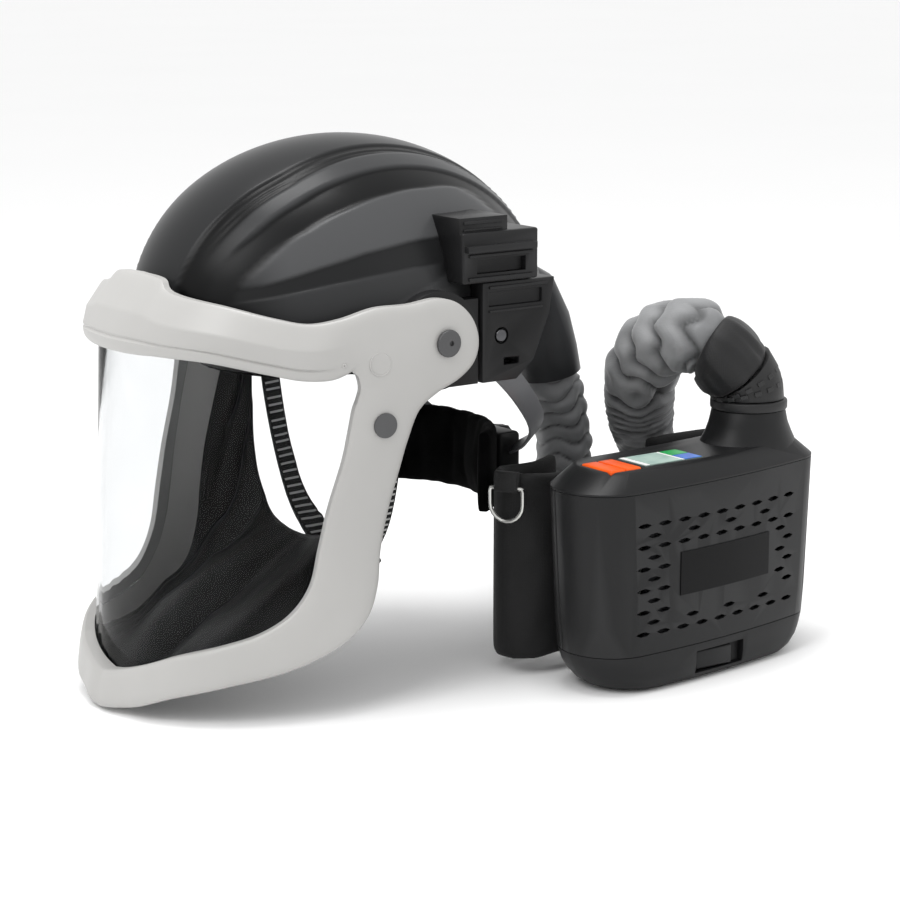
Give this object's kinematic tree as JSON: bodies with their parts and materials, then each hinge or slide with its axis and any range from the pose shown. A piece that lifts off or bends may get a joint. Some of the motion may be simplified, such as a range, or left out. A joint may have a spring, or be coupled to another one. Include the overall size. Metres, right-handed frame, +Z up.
{
  "type": "powered air respirator",
  "caption": "Helmet with a hinged full-face visor, fed through a fabric-covered hose by a belt-worn battery blower.",
  "frame": {"origin": "on the floor under the middle of the blower, on the battery's flat underside", "axes": "+Z up; the blower's louvred front faces -Y; the helmet stands to the blower's -X side and its visor faces -X"},
  "size_m": [0.5431, 0.3114, 0.3498],
  "materials": {
    "shell_black": "satin moulded shell, ribbed",
    "frame_white": "fine satin, pale warm grey",
    "lens_clear": "clear polycarbonate sheet",
    "gasket_black": "soft foam rubber",
    "fitting_black": "glass-filled nylon",
    "fabric_black": "woven nylon",
    "velvet_black": "brushed pile",
    "strap_grey": "flexible moulded strap",
    "elastic_black": "woven elastic",
    "duct_grey": "satin moulded duct",
    "housing_charcoal": "fine-textured moulded housing",
    "button_orange": "silicone rubber",
    "display": "glossy window",
    "board_green": "solder mask",
    "fan_grey": "moulded nylon",
    "motor_steel": "plated can",
    "screw_steel": "zinc plated",
    "ring_steel": "plated wire",
    "filter_paper": "pleated glass fibre paper",
    "foam_grey": "open cell foam",
    "hose_fabric": "coated hose cover",
    "webbing_black": "woven polyester webbing",
    "buckle_black": "acetal"
  },
  "bodies": {
    "root": {"helmet_shell": "shell_black", "headband": "fitting_black", "brow_pad": "velvet_black", "crown_strap_long": "elastic_black", "crown_strap_cross": "elastic_black", "air_channel": "duct_grey", "nape_strap_left": "strap_grey", "nape_strap_right": "strap_grey", "nape_pad": "velvet_black", "ratchet_housing": "fitting_black", "chin_strap_left": "elastic_black", "chin_strap_right": "elastic_black", "chin_cup": "gasket_black", "pivot_plate_left": "fitting_black", "pivot_plate_right": "fitting_black", "pivot_bolt_left": "strap_grey", "pivot_bolt_right": "strap_grey", "accessory_bracket_left": "fitting_black", "accessory_bracket_right": "fitting_black", "anchor_plate_left": "fitting_black", "anchor_plate_right": "fitting_black", "anchor_screw_left": "screw_steel", "anchor_screw_right": "screw_steel", "rear_duct": "duct_grey", "rear_housing": "housing_charcoal", "top_console": "housing_charcoal", "display_window": "display", "circuit_board": "board_green", "fan_scroll": "fan_grey", "motor": "motor_steel", "particle_filter": "filter_paper", "pre_filter": "foam_grey", "hose_elbow": "gasket_black", "housing_screw_1": "screw_steel", "housing_screw_2": "screw_steel", "housing_screw_3": "screw_steel", "belt_pad": "fabric_black", "belt_webbing": "webbing_black", "belt_bracket": "fitting_black", "buckle_socket": "buckle_black", "buckle_tongue": "buckle_black", "ring_loop_left": "webbing_black", "ring_loop_right": "webbing_black", "hose": "hose_fabric"},
    "visor": {"visor_frame": "frame_white", "visor_lens": "lens_clear", "lens_gasket": "gasket_black", "frame_plug_left": "strap_grey", "frame_plug_right": "strap_grey", "face_seal": "fabric_black"},
    "power_button": {"power_button": "button_orange"},
    "speed_button": {"speed_button": "button_orange"},
    "filter_cover": {"filter_cover": "housing_charcoal"},
    "battery": {"battery_pack": "housing_charcoal"},
    "latch": {"battery_latch": "fitting_black"},
    "impeller": {"impeller": "fan_grey"},
    "lock_ring": {"hose_lock_ring": "fitting_black"},
    "knob": {"ratchet_knob": "fitting_black"},
    "ring_left": {"d_ring_left": "ring_steel"},
    "ring_right": {"d_ring_right": "ring_steel"}
  },
  "joints": [
    {"name": "visor_pivot", "type": "hinge", "parent": "root", "child": "visor", "pos_m": [-0.1715, 0.142, 0.23], "axis": [0, 1, 0], "range_deg": [0, 60]},
    {"name": "power_press", "type": "slide", "parent": "root", "child": "power_button", "axis": [0, 0, -1], "range_m": [0, 0.0012], "stiffness_N_per_m": 500, "springref_m": -0.0006},
    {"name": "speed_press", "type": "slide", "parent": "root", "child": "speed_button", "axis": [0, 0, -1], "range_m": [0, 0.0012], "stiffness_N_per_m": 500, "springref_m": -0.0006},
    {"name": "cover_slide", "type": "slide", "parent": "root", "child": "filter_cover", "axis": [0, -1, 0], "range_m": [0, 0.03]},
    {"name": "battery_slide", "type": "slide", "parent": "root", "child": "battery", "axis": [0, 0, -1], "range_m": [0, 0.04]},
    {"name": "latch_slide", "type": "slide", "parent": "battery", "child": "latch", "axis": [1, 0, 0], "range_m": [0, 0.008], "stiffness_N_per_m": 600, "springref_m": -0.001},
    {"name": "impeller_spin", "type": "hinge", "parent": "root", "child": "impeller", "pos_m": [0.012, 0.0157, 0.078], "axis": [0, 1, 0], "continuous": true},
    {"name": "lock_ring_turn", "type": "hinge", "parent": "root", "child": "lock_ring", "pos_m": [0.066, 0.01, 0.1687], "axis": [0, 0, 1], "range_deg": [0, 30]},
    {"name": "knob_turn", "type": "hinge", "parent": "root", "child": "knob", "pos_m": [-0.0475, 0.142, 0.132], "axis": [1, 0, 0], "continuous": true},
    {"name": "ring_left_swing", "type": "hinge", "parent": "root", "child": "ring_left", "pos_m": [-0.10927, 0.04653, 0.1262], "axis": [-0.5, 0.866, 0], "range_deg": [0, 110]},
    {"name": "ring_right_swing", "type": "hinge", "parent": "root", "child": "ring_right", "pos_m": [0.10881, 0.06138, 0.1262], "axis": [-0.5, -0.866, 0], "range_deg": [0, 110]}
  ]
}
